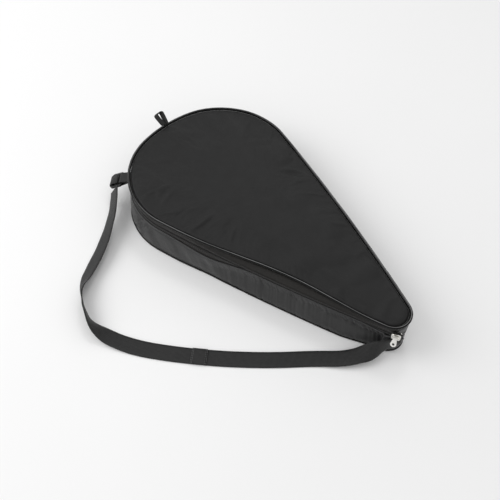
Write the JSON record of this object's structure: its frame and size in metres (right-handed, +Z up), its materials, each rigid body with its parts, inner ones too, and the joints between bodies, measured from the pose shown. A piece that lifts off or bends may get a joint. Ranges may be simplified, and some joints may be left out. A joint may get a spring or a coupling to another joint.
{
  "type": "paddle case",
  "caption": "Zipped teardrop-shaped soft case for a racket-sports paddle, with a fabric-hinged lid, a webbing shoulder strap and a hanging loop.",
  "frame": {"origin": "on the underside of the back panel, half way along the case and on its middle line", "axes": "+X from the head to the tip, +Y towards the fabric hinge side, +Z up through the front panel"},
  "size_m": [0.542, 0.4531, 0.0839],
  "materials": {
    "panel_nylon": "matte coated woven nylon",
    "gusset_nylon": "satin coated woven nylon",
    "piping_vinyl": "glossy",
    "foam": "matte closed-cell foam",
    "lining": "matte knitted lining",
    "binding_tape": "matte ribbed tape",
    "zip_tape": "matte woven tape",
    "zip_coil": "satin",
    "webbing": "matte ribbed webbing",
    "ring_plastic": "satin moulded",
    "nickel": "polished nickel plate"
  },
  "bodies": {
    "case": {"back_panel_shell": "panel_nylon", "back_panel_foam": "foam", "back_panel_lining": "lining", "back_piping": "piping_vinyl", "back_seam_binding": "binding_tape", "lower_gusset": "gusset_nylon", "hinge_strip_lower": "gusset_nylon", "zip_tape_lower": "zip_tape", "zip_coil_lower": "zip_coil", "zip_stop_tip": "zip_coil", "zip_stop_hinge": "zip_coil", "shoulder_strap": "webbing", "strap_splice": "webbing", "strap_anchor": "webbing", "strap_ring": "ring_plastic", "ring_loop": "webbing"},
    "lid": {"front_panel_lining": "lining", "front_panel_foam": "foam", "front_panel_shell": "panel_nylon", "front_piping": "piping_vinyl", "front_seam_binding": "binding_tape", "upper_gusset": "zip_tape", "hinge_strip_upper": "gusset_nylon", "zip_tape_upper": "zip_tape", "zip_coil_upper": "zip_coil", "hanging_loop": "webbing"},
    "slider": {"slider_body": "nickel"},
    "puller": {"pull_tab": "nickel"}
  },
  "joints": [
    {"name": "lid_hinge", "type": "hinge", "parent": "case", "child": "lid", "pos_m": [0.06802, 0.08449, 0.0519], "axis": [-0.9563, 0.2925, 0], "range_deg": [0, 150]},
    {"name": "slider_run", "type": "hinge", "parent": "case", "child": "slider", "pos_m": [-0.91922, 3.14321, 0.0519], "axis": [0, 0, -1], "range_deg": [0, 6.38]},
    {"name": "puller_swing", "type": "hinge", "parent": "slider", "child": "puller", "pos_m": [0.25805, -0.0229, 0.0519], "axis": [-0.9373, -0.3485, 0], "range_deg": [0, 150]}
  ]
}
